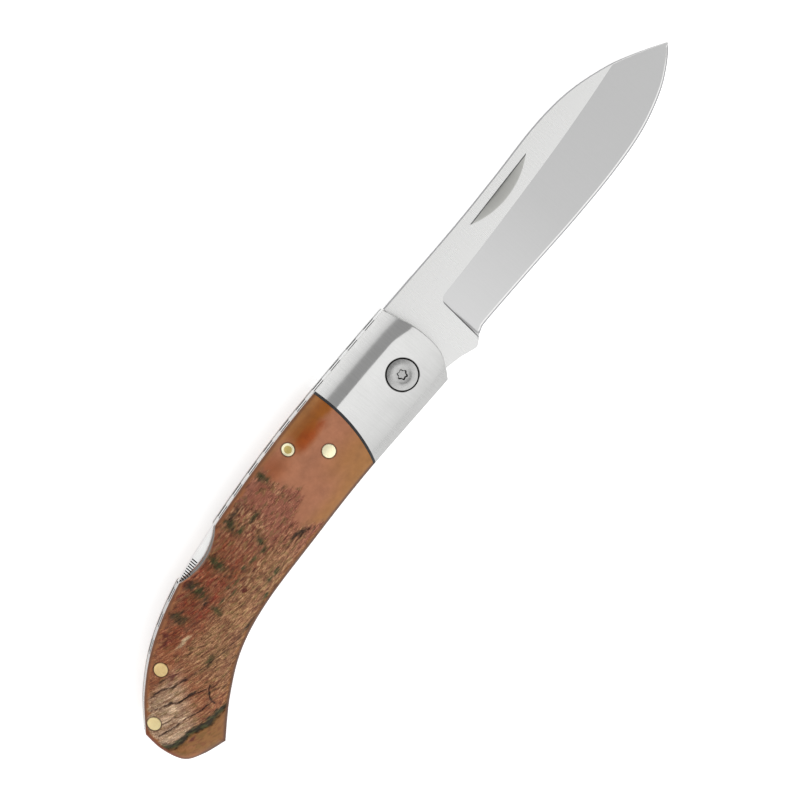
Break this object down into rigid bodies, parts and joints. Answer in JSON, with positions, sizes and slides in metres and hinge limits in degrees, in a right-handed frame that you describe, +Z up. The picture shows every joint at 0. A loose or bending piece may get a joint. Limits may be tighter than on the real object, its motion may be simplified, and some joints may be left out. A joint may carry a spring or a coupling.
{
  "type": "folding pocket knife",
  "caption": "Folding hunting knife with a drop-point blade, steel bolsters, ram's horn scales and a rocking lock bar, shown open and locked.",
  "frame": {"origin": "on the blade's pivot axis, in the plane that the knife lies on: the outer face of the pivot barrel's head", "axes": "+X along the open blade to its tip, +Y to the knife's back, +Z up through the knife's thickness to the side with the pivot screw and the nail nick"},
  "size_m": [0.1994, 0.0385, 0.014],
  "materials": {
    "blade_steel": "satin, cross-brushed flats and finer ground faces",
    "bolster_steel": "fine cross-brushed",
    "liner_steel": "ground",
    "bar_steel": "satin",
    "spring_steel": "tempered, dark grey",
    "screw_steel": "turned",
    "bronze": "rolled phosphor bronze",
    "pin_brass": "ground flush, polished",
    "fibre": "black vulcanised fibre",
    "ram_horn": "natural ram's horn, polished where it is smooth, with its bark left on"
  },
  "bodies": {
    "handle": {"pivot_screw": "screw_steel", "pivot_barrel": "screw_steel", "pivot_washer_top": "bronze", "pivot_washer_bottom": "bronze", "liner_top": "liner_steel", "liner_bottom": "liner_steel", "bolster_top": "bolster_steel", "bolster_bottom": "bolster_steel", "fibre_strip_top": "fibre", "fibre_strip_bottom": "fibre", "scale_top": "ram_horn", "scale_bottom": "ram_horn", "scale_rivet_top": "pin_brass", "scale_rivet_bottom": "pin_brass", "bolster_dowel_top_back": "liner_steel", "bolster_dowel_top_belly": "liner_steel", "bolster_dowel_bottom_back": "liner_steel", "bolster_dowel_bottom_belly": "liner_steel", "lock_bar_pin": "pin_brass", "rear_spacer": "bar_steel", "rear_pin_front": "pin_brass", "rear_pin_butt": "pin_brass"},
    "blade": {"blade": "blade_steel"},
    "lock_bar": {"lock_bar": "bar_steel"},
    "lock_spring": {"lock_spring": "spring_steel"}
  },
  "joints": [
    {"name": "blade_pivot", "type": "hinge", "parent": "handle", "child": "blade", "pos_m": [0, 0, 0.00701], "axis": [0, 0, 1], "range_deg": [-172, 0]},
    {"name": "lock_bar_pivot", "type": "hinge", "parent": "handle", "child": "lock_bar", "pos_m": [-0.0301, 0.00864, 0.00701], "axis": [0, 0, 1], "range_deg": [0, 3.2], "stiffness_Nm_per_rad": 4, "springref_deg": -3.44},
    {"name": "lock_spring_flex", "type": "hinge", "parent": "handle", "child": "lock_spring", "pos_m": [-0.0735, 0.0012, 0.00701], "axis": [0, 0, 1], "range_deg": [-6, 0]}
  ],
  "couplings": [
    {"joint": "lock_spring_flex", "follows": "lock_bar_pivot", "ratio": -1.58}
  ]
}
